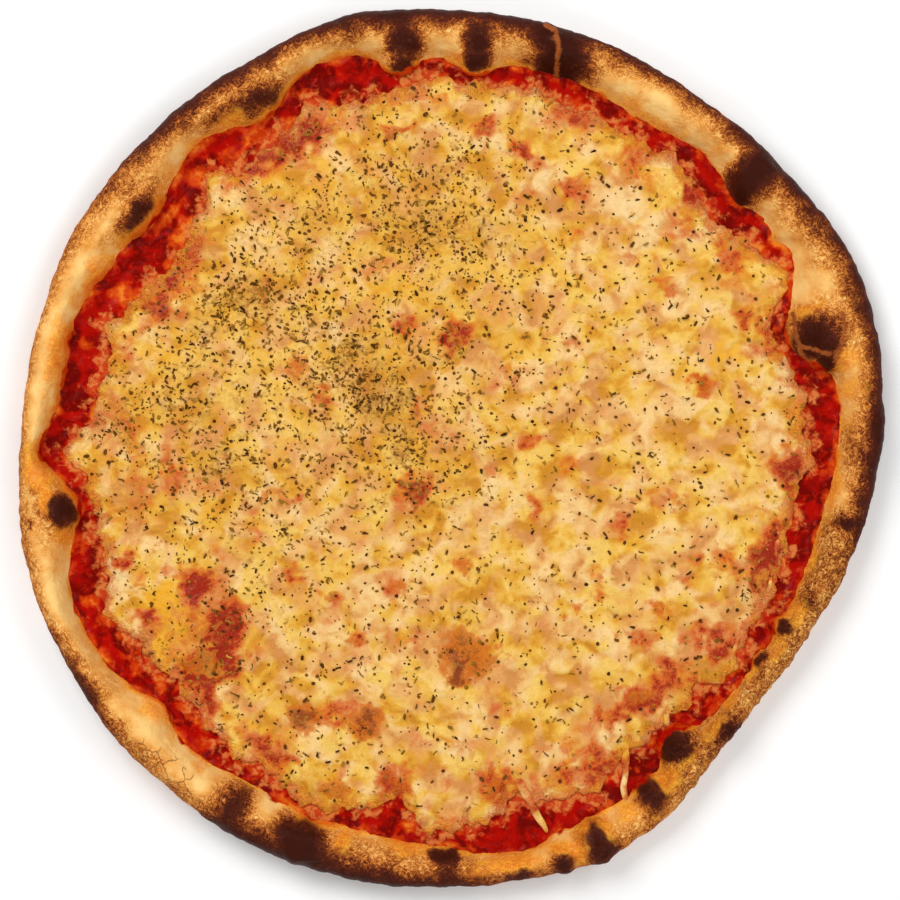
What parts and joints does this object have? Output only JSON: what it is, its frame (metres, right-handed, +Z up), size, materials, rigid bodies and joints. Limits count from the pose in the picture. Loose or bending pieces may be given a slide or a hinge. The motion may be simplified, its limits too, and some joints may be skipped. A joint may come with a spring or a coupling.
{
  "type": "cheese pizza",
  "caption": "Round baked pizza with a raised blistered rim, a ring of tomato sauce and a lumpy layer of melted cheese strewn with dried herbs.",
  "frame": {"origin": "on the surface that the pizza lies on, under the middle of its outline's box", "axes": "+Z up, +Y towards the top of the picture and +X to its right"},
  "size_m": [0.3209, 0.3256, 0.02],
  "materials": {
    "dough": "matt baked dough, cream to golden brown with black char",
    "sauce": "wet and glossy",
    "cheese": "satin, oily melted cheese"
  },
  "bodies": {
    "root": {"crust": "dough", "sauce": "sauce", "cheese": "cheese"}
  },
  "joints": []
}
